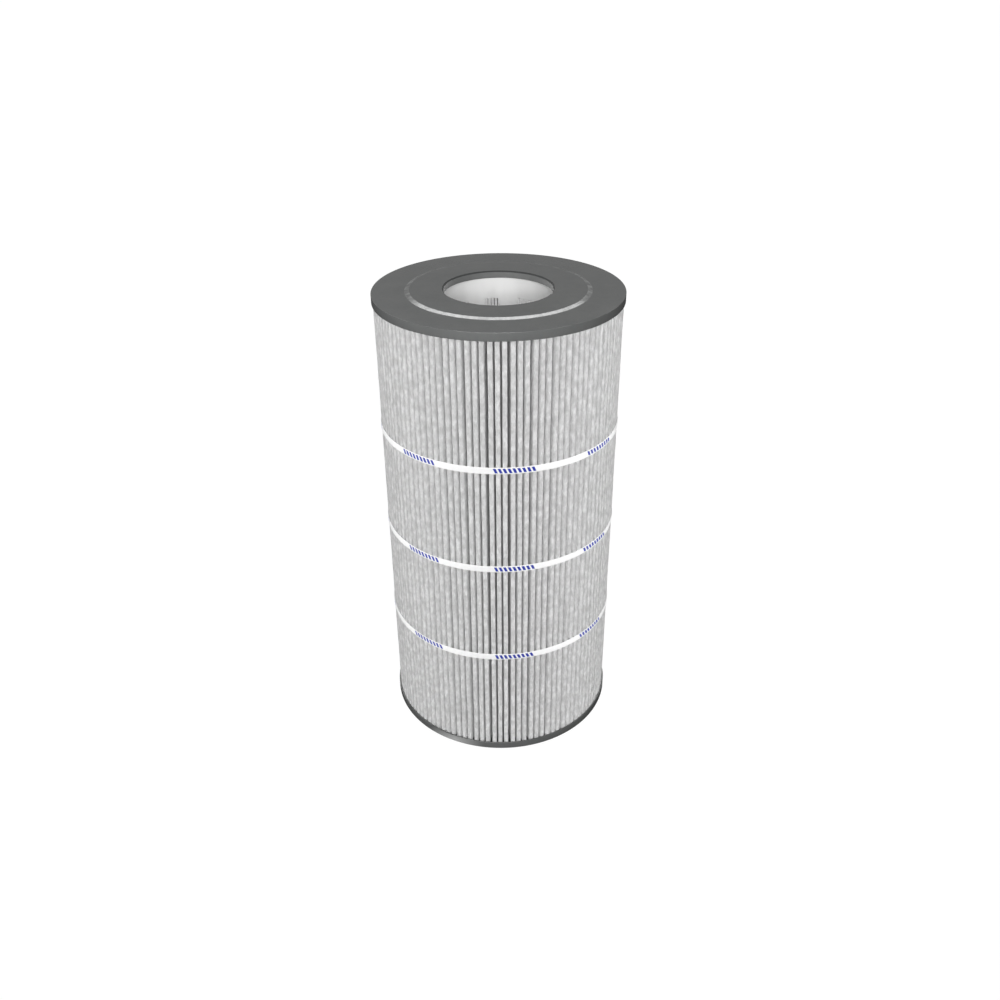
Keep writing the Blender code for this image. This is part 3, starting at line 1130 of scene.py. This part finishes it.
@dataclass
class PleatedSheet:
    """The filter fabric: one flat sheet folded into pleats, with its two ends at the seam."""

    node: str = "pleated_media"
    pleats: int = 111
    group: int = 3
    thickness: float = 0.0006
    fold_width: float = 0.0041
    fold_round: float = 0.0008
    fold_steps: int = 3
    group_gap: float = 0.0010
    clip_wall: float = 0.0006
    clip_depth: float = 0.0110
    seat_gap: float = 0.0003
    core_radius: float = 0.0539
    shoulder_depth: float = 0.0140
    # The outer side's fold depth is held at this, which keeps the painted bore glow off it
    shaded_depth: float = 0.0400
    rows: int = 36
    sway: float = 0.00010
    sag: float = 0.00030
    grip: float = 0.020
    wave_sizes: Range = (0.4, 1.0)
    wave_spans: Range = (0.05, 0.14)
    waves_each: int = 2
    seed: int = 11
    radius: float = field(init=False)
    foot: float = field(init=False)
    length: float = field(init=False)
    held: list[float] = field(init=False)

    def __post_init__(self) -> None:
        """Take the outer size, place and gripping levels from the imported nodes."""
        low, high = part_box(self.node)
        self.radius = (high.x - low.x) / 2
        self.foot = low.z
        self.length = high.z - low.z
        straps = [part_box(tier.value) for tier in Tier]
        self.held = [low.z, high.z, *((foot.z + top.z) / 2 for foot, top in straps)]

    def pleat_angles(self) -> list[float]:
        """Share out the pleats round the axis, in groups with a wider gap after each.

        Returns:
            The middle angle of each pleat, starting at the seam.
        """
        fold = self.fold_width / self.radius
        extra = self.group_gap / self.radius
        gap = (math.tau - self.pleats * fold - self.pleats // self.group * extra) / self.pleats
        angles = []
        angle = SEAM_ANGLE
        for pleat in range(self.pleats):
            angles.append(angle)
            angle += fold + gap + (extra if pleat % self.group == self.group - 1 else 0.0)
        return angles

    def crest(self) -> list[tuple[float, float]]:
        """Work out the rounded outer fold of a pleat.

        Returns:
            Radius and sideways offset along the fold, from one side to the other.
        """
        outer = self.radius - self.thickness / 2
        half = (self.fold_width - self.thickness) / 2
        turns = [math.pi / 2 * step / self.fold_steps for step in range(self.fold_steps + 1)]
        side = [
            (outer - self.fold_round * (1 - math.sin(turn)), half - self.fold_round * (1 - math.cos(turn)))
            for turn in turns
        ]
        return [(radius, -offset) for radius, offset in side] + side[::-1]

    def path(self) -> list[FoldPoint]:
        """Follow the folded sheet from one end at the seam round to the other.

        Returns:
            The lines along which the sheet is folded, in order.
        """
        inner = self.core_radius + self.seat_gap + self.thickness / 2
        quarter = math.tau / self.pleats / 4
        shoulder = self.radius - self.shoulder_depth
        half = (self.fold_width - self.thickness) / 2
        end = self.radius - self.clip_wall - self.seat_gap
        side = (self.thickness + self.seat_gap) / 2
        grip = self.radius - self.clip_depth
        seam, *others = self.pleat_angles()
        points = [
            FoldPoint(end, seam, side),
            FoldPoint(grip, seam, side),
            FoldPoint(inner, seam + quarter),
        ]
        for pleat, angle in enumerate(others, start=1):
            folds = [(shoulder, -half), *self.crest(), (shoulder, half)]
            points.append(FoldPoint(inner, angle - quarter, pleat=pleat))
            points += [FoldPoint(radius, angle, offset, pleat) for radius, offset in folds]
            points.append(FoldPoint(inner, angle + quarter, pleat=pleat))
        points += [
            FoldPoint(inner, seam - quarter),
            FoldPoint(grip, seam, -side),
            FoldPoint(end, seam, -side),
        ]
        return points

    def slack(self, level: float) -> float:
        """Return how free the pleats are at a level: zero at the caps and straps, one between."""
        nearest = min(abs(level - held) for held in self.held)
        return 1.0 - math.exp(-((nearest / self.grip) ** 2))

    def waves(self) -> list[list[Wave]]:
        """Draw each pleat's own gentle waves.

        Returns:
            The waves of each pleat.
        """
        draw = random.Random(self.seed)

        def one_wave() -> Wave:
            """Return one wave with a random size, length and phase."""
            return Wave(draw.uniform(*self.wave_sizes), draw.uniform(*self.wave_spans),
                        draw.uniform(0.0, math.tau))

        return [[one_wave() for _ in range(self.waves_each)] for _ in range(self.pleats)]

    def fold(self, sheet: Piece, points: Sequence[FoldPoint], run: Sequence[float]) -> None:
        """Move a flat grid's points onto the folds, and lay out its UV map in metres.

        Args:
            sheet: the flat grid, a metre square.
            points: the folded path, one entry for each column of the grid.
            run: the flat distance to each column.
        """
        waves = self.waves()
        last_column = len(points) - 1
        depths = sheet.data.attributes.new(FOLD_DEPTH, "FLOAT", "POINT").data
        cells = []
        for vertex in sheet.data.vertices:
            column = round((vertex.co.x + 0.5) * last_column)
            level = self.foot + (vertex.co.y + 0.5) * self.length
            point = points[column]
            reach = ((point.radius - self.core_radius) / (self.radius - self.core_radius)) ** 2
            free = self.slack(level) * reach * (point.pleat > 0)
            swing = sum(wave.swing(level) for wave in waves[point.pleat])
            sagged = point.radius - self.sag * free * abs(swing) / 2
            x, y = beside(sagged, point.angle, point.offset + self.sway * free * swing)
            vertex.co = (x, y, level)
            depths[vertex.index].value = self.radius - point.radius
            cells.append((run[column], level))
        Bench.lay_out(sheet, cells)

    def shade_outer_side(self, sheet: Piece, side_count: int) -> None:
        """Keep the painted bore glow off the side of the sheet that faces outwards.

        Args:
            sheet: the thickened sheet, its one side's points before the other's.
            side_count: the number of points on each side.
        """
        depths = sheet.data.attributes[FOLD_DEPTH].data
        vertices = sheet.data.vertices
        deepest = max(range(side_count), key=lambda index: depths[index].value)
        reaches = [vertices[index].co.xy.length for index in (deepest, deepest + side_count)]
        start = 0 if reaches[0] > reaches[1] else side_count
        for index in range(start, start + side_count):
            depths[index].value = min(depths[index].value, self.shaded_depth)

    def build(self) -> tuple[Piece, float]:
        """Fold a flat sheet along the pleats.

        Returns:
            The finished mesh object at the origin, and the flat sheet's length.
        """
        points = self.path()
        run = [0.0]
        for here, there in pairwise(points):
            run.append(run[-1] + math.dist(here.corner, there.corner))
        sheet = Bench.flat_grid("pleated_sheet", len(points) - 1, self.rows)
        self.fold(sheet, points, run)
        side_count = len(sheet.data.vertices)
        Bench.thicken(sheet, self.thickness, 0.0)
        self.shade_outer_side(sheet, side_count)
        Bench.face_outwards(sheet)
        Bench.smooth(sheet)
        return sheet, run[-1]

    def make(self, fabric: SpunFabric) -> Piece:
        """Args:
            fabric: the sheet's finish.

        Returns:
            The dressed sheet.
        """
        sheet, flat_length = self.build()
        Bench.finish(sheet, fabric.material(), Slot.MEDIA, self.node)
        return sheet


@dataclass
class SeamStrip:
    """The channel strip that grips the two ends of the sheet at the back."""

    node: str = "media_seam_clip"
    wall: float = 0.0006
    depth: float = 0.0110
    width: float = 0.0033
    edge_round: float = 0.00022
    edge_steps: int = 3

    def build(self) -> Piece:
        """Model the strip as a block hollowed from its inner side.

        Returns:
            The finished mesh object, at the origin.
        """

        def is_open(face: bmesh.types.BMFace) -> bool:
            """Tell whether a face of the block is its inner side or an end."""
            return face.normal.y > FACING or abs(face.normal.z) > FACING

        low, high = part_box(self.node)
        Bench.clear_selection()
        bpy.ops.mesh.primitive_cube_add(size=1.0)
        strip = bpy.context.active_object
        strip.name = "seam_strip"
        with Bench.editing(strip):
            bpy.ops.transform.resize(value=(self.width, self.depth, high.z - low.z))
            Bench.pick(strip, Element.FACE, is_open)
            bpy.ops.mesh.delete(type="FACE")
        Bench.thicken(strip, self.wall, -1.0)
        Bench.round_edges(strip, self.edge_round, self.edge_steps)
        x, y = polar(PLEAT_RADIUS - self.depth / 2, SEAM_ANGLE)
        strip.rotation_euler = (0.0, 0.0, SEAM_ANGLE)
        strip.location = (x, y, (low.z + high.z) / 2)
        Bench.take(strip)
        bpy.ops.object.transform_apply(location=True, rotation=True, scale=True)
        Bench.smooth(strip)
        return strip

    def make(self, plastic: MouldedWhite) -> Piece:
        """Build and dress the strip.

        Args:
            plastic: the strip's finish.

        Returns:
            The dressed strip.
        """
        strip = self.build()
        Bench.finish(strip, plastic.material(), Slot.SEAM, self.node)
        return strip


@dataclass
class Strap:
    """One retaining strap: a flat ribbon wrapped once round the pleats, with a lapped end."""

    tier: Tier
    seat_gap: float = 0.00012
    thickness: float = 0.0004
    lap: float = 0.0260
    ramp: float = 0.0060
    lap_gap: float = 0.00008
    edge_round: float = 0.00012
    edge_steps: int = 2
    columns: int = 460
    rows: int = 4
    width: float = field(init=False)
    level: float = field(init=False)

    def __post_init__(self) -> None:
        """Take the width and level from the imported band."""
        low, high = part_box(self.tier.value)
        self.width = high.z - low.z
        self.level = (low.z + high.z) / 2

    @property
    def radius(self) -> float:
        """Radius of the strap's middle line."""
        return PLEAT_RADIUS + self.seat_gap + self.thickness / 2

    @property
    def start_angle(self) -> float:
        """Angle of the strap's first end."""
        return SEAM_ANGLE - self.lap / self.radius / 2

    @property
    def turn(self) -> float:
        """Length of one turn of the strap."""
        return math.tau * self.radius

    @property
    def length(self) -> float:
        """Flat length of the strap, lap included."""
        return self.turn + self.lap

    def distance_to(self, angle: float) -> float:
        """Return the distance along the strap to an angle round the axis."""
        return ((angle - self.start_angle) % math.tau) * self.radius

    def wrapped(self, along: float) -> tuple[float, float]:
        """Find the middle line at a distance along the strap, lifted where its end laps its start.

        Args:
            along: the distance from the strap's first end.

        Returns:
            The middle line's x and y.
        """
        climb = min(max((along - self.turn + self.ramp) / self.ramp, 0.0), 1.0)
        eased = climb * climb * (3.0 - 2.0 * climb)
        lift = (self.thickness + self.lap_gap) * eased
        return polar(self.radius + lift, self.start_angle + along / self.radius)

    def build(self) -> Piece:
        """Wrap a flat ribbon round the pleats.

        Returns:
            The finished mesh object, at the origin.
        """
        strap = Bench.flat_grid(f"{self.tier.name.lower()}_strap", self.columns, self.rows)
        cells = []
        for vertex in strap.data.vertices:
            along = (vertex.co.x + 0.5) * self.length
            across = vertex.co.y * self.width
            vertex.co = (*self.wrapped(along), self.level + across)
            cells.append((along, across))
        Bench.lay_out(strap, cells)
        Bench.thicken(strap, self.thickness, 0.0)
        Bench.round_edges(strap, self.edge_round, self.edge_steps)
        Bench.face_outwards(strap)
        Bench.smooth(strap)
        return strap

    def make(self, weave: bpy.types.Material) -> Piece:
        """Build and dress the strap.

        Args:
            weave: the finish that the straps share.

        Returns:
            The dressed strap.
        """
        strap = self.build()
        Bench.finish(strap, weave, Slot.BAND, self.tier.value)
        return strap


@dataclass(frozen=True)
class Panel:
    """One soft light panel of the studio: where it hangs, what it faces, and what it lights."""

    name: str
    place: Triple
    aim: Triple
    size: Range
    power: float
    lights: tuple[Slot, ...] = tuple(Slot)

    def build(self, pieces: dict[Slot, list[Piece]]) -> None:
        """Hang the panel, turn it to its aim and flag it off the pieces that it doesn't light.

        Args:
            pieces: the cartridge's pieces by their slot.
        """
        bpy.ops.object.light_add(type="AREA", location=self.place)
        lamp = bpy.context.active_object
        lamp.name = self.name
        lamp.data.shape = "RECTANGLE"
        lamp.data.size, lamp.data.size_y = self.size
        lamp.data.energy = self.power
        direction = Vector(self.aim) - Vector(self.place)
        lamp.rotation_euler = direction.to_track_quat("-Z", "Y").to_euler()
        if self.lights == tuple(Slot):
            return
        reach = bpy.data.collections.new(self.name + "_reach")
        for slot in self.lights:
            for piece in pieces[slot]:
                reach.objects.link(piece)
        lamp.light_linking.receiver_collection = reach


@dataclass
class Studio:
    """A pale floor, soft light all round and a camera at the photograph's angle."""

    pieces: dict[Slot, list[Piece]]
    camera_distance: float = 0.8298
    camera_height: float = 0.7101
    camera_pitch: float = math.radians(30.11)
    camera_roll: float = math.radians(-0.42)
    lens: float = 34.30
    sensor: float = 36.0
    front_sky: float = 0.14
    back_sky: float = 0.24
    sky_fade: Range = (-0.1, 0.6)
    sky_seen: float = 1.0
    floor_size: float = 80.0
    floor_dark: Triple = (0.030, 0.030, 0.030)
    floor_pale: Triple = (0.034, 0.034, 0.034)
    floor_clouds: Mottle = Mottle(3.0)
    floor_matte: float = 0.9
    floor_sheen_level: float = 0.1
    floor_seen: float = 1.0
    floor_glow: float = 0.22
    floor_shine: float = 0.05
    # A painted pool of light on the floor beside the foot, seen only in reflections, puts a painted
    # highlight on the rims
    painted_pool_shine: float = 2.8
    pool_radius: float = 0.034
    pool_reach: float = 0.118
    pool_angle: float = math.radians(-26.0)
    panels: tuple[Panel, ...] = (
        Panel("front_panel", (-0.02, -2.5, 1.05), (0.0, 0.0, 0.2), (2.7, 0.9), 68.0, OUTER_SLOTS),
        Panel("bore_panel", (0.05, -2.11, 1.27), (0.0, 0.0, 0.25), (2.3, 0.9), 66.0, (Slot.CORE,)),
        Panel("cap_panel", (-0.37, -2.08, 1.27), (0.0, 0.0, 0.25), (2.3, 0.9), 66.0, (Slot.CAP,)),
        Panel("left_panel", (-2.0, -0.55, 0.85), (0.0, 0.0, 0.2), (0.8, 0.9), 18.5, OUTER_SLOTS),
        Panel("right_panel", (2.0, -0.55, 0.85), (0.0, 0.0, 0.2), (0.8, 0.9), 20.0, OUTER_SLOTS),
        Panel("left_strap_panel", (-2.0, -0.2, 0.85), (0.0, 0.0, 0.2), (0.8, 0.9), 22.0, (Slot.BAND,)),
        Panel("right_strap_panel", (2.0, -0.2, 0.85), (0.0, 0.0, 0.2), (0.8, 0.9), 22.0, (Slot.BAND,)),
        Panel("rear_panel", (0.0, 2.6, 0.20), (0.0, 0.0, 0.20), (2.6, 0.36), 60.0, OUTER_SLOTS),
        Panel("back_panel", (0.0, 1.54, 2.29), (0.0, 0.0, 0.45), (1.38, 0.67), 11.5),
        Panel("back_left_panel", (-0.67, 1.85, 1.83), (0.0, 0.0, 0.45), (0.41, 0.59), 1.8),
        Panel("back_right_panel", (0.67, 1.85, 1.83), (0.0, 0.0, 0.45), (0.41, 0.59), 1.8),
    )

    def floor_light(self, graph: Graph) -> Socket:
        """Work out the floor's glow: white to the camera, dimmer as a light, dim in reflections.

        A small painted pool of light beside the foot is brighter in reflections, and shows as a painted
        highlight on the rim.

        Args:
            graph: the floor's node tree.

        Returns:
            The glow's strength.
        """
        ray = graph.add("LightPath").outputs
        glow = graph.spread(ray["Is Camera Ray"], self.floor_glow, self.floor_seen)
        off_pool = graph.add("VectorMath", operation="DISTANCE")
        off_pool.inputs[1].default_value = (*polar(self.pool_reach, self.pool_angle), 0.0)
        graph.links.new(graph.place(), off_pool.inputs[0])
        away = off_pool.outputs["Value"]
        shine = graph.spread(away, self.painted_pool_shine, self.floor_shine, 0.0, self.pool_radius)
        gain = graph.sum("SUBTRACT", shine, self.floor_glow)
        return graph.sum("ADD", glow, graph.sum("MULTIPLY", ray["Is Glossy Ray"], gain))

    def floor(self) -> None:
        """Lay the plain pale floor."""
        Bench.clear_selection()
        bpy.ops.mesh.primitive_plane_add(size=self.floor_size)
        plane = bpy.context.active_object
        plane.name = "studio_floor"
        graph = Graph("studio_floor_paint")
        clouds = graph.noise(graph.place(), self.floor_clouds)
        colour = graph.ramp(clouds, *zip(NOISE_RANGE, (self.floor_dark, self.floor_pale)))
        graph.shader.inputs["Emission Color"].default_value = WHITE
        plane.data.materials.append(graph.dress(
            base_color=colour, roughness=self.floor_matte, specular_IOR_level=self.floor_sheen_level,
            emission_strength=self.floor_light(graph)))

    def sky(self) -> None:
        """Light the studio softly from all round, and show the camera a plain white wall."""
        world = bpy.data.worlds.new("studio_sky")
        bpy.context.scene.world = world
        world.use_nodes = True
        nodes, links = world.node_tree.nodes, world.node_tree.links
        place = nodes.new("ShaderNodeTexCoord")
        split = nodes.new("ShaderNodeSeparateXYZ")
        fade = nodes.new("ShaderNodeMapRange")
        fade.interpolation_type = "SMOOTHSTEP"
        fade.inputs["From Min"].default_value, fade.inputs["From Max"].default_value = self.sky_fade
        fade.inputs["To Min"].default_value = self.front_sky
        fade.inputs["To Max"].default_value = self.back_sky
        links.new(place.outputs["Generated"], split.inputs["Vector"])
        links.new(split.outputs["Y"], fade.inputs["Value"])
        ray = nodes.new("ShaderNodeLightPath")
        wall = nodes.new("ShaderNodeMapRange")
        wall.inputs["To Max"].default_value = self.sky_seen
        links.new(ray.outputs["Is Camera Ray"], wall.inputs["Value"])
        links.new(fade.outputs["Result"], wall.inputs["To Min"])
        links.new(wall.outputs["Result"], nodes["Background"].inputs["Strength"])
        nodes["Background"].inputs["Color"].default_value = WHITE

    def camera(self) -> None:
        """Place the camera where the photograph was taken from."""
        tilt = Euler((math.pi / 2 - self.camera_pitch, 0.0, 0.0)).to_quaternion()
        roll = Euler((0.0, 0.0, self.camera_roll)).to_quaternion()
        bpy.ops.object.camera_add(location=(0.0, -self.camera_distance, self.camera_height))
        camera = bpy.context.active_object
        camera.name = "studio_camera"
        camera.rotation_euler = (tilt @ roll).to_euler()
        camera.data.lens = self.lens
        camera.data.sensor_width = self.sensor
        bpy.context.scene.camera = camera

    def build(self) -> None:
        """Set up the whole studio."""
        self.floor()
        self.sky()
        for panel in self.panels:
            panel.build(self.pieces)
        self.camera()
        bpy.context.scene.view_settings.view_transform = "Standard"


def main() -> None:
    """Build every piece of the cartridge and the studio round it."""
    logging.basicConfig(level=logging.INFO, format="%(message)s")
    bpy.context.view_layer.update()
    top_cap = EndCap(End.TOP).make(CastResin("top_resin"))
    # The bottom cap's resin is a darker copy of the top cap's: painted shade
    bottom_cap = EndCap(End.BOTTOM).make(CastResin("bottom_resin_painted_shade", shade=0.77))
    core_plastic = MouldedWhite("core_plastic").material()
    core_nodes = sorted(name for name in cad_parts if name.startswith("core_section"))
    core = [CoreSection(node).make(core_plastic) for node in core_nodes]
    sheet = PleatedSheet().make(SpunFabric())
    strip = SeamStrip().make(MouldedWhite("seam_plastic"))
    straps = [Strap(tier) for tier in Tier]
    pattern = straps[0]
    weave = StrapWeave(pattern.distance_to(FIRST_MARK_ANGLE), pattern.length).material()
    pieces = {
        Slot.CAP: [top_cap, bottom_cap],
        Slot.CORE: core,
        Slot.MEDIA: [sheet],
        Slot.SEAM: [strip],
        Slot.BAND: [strap.make(weave) for strap in straps],
    }
    Studio(pieces).build()
    Bench.clear_selection()


if __name__ == "__main__":
    main()
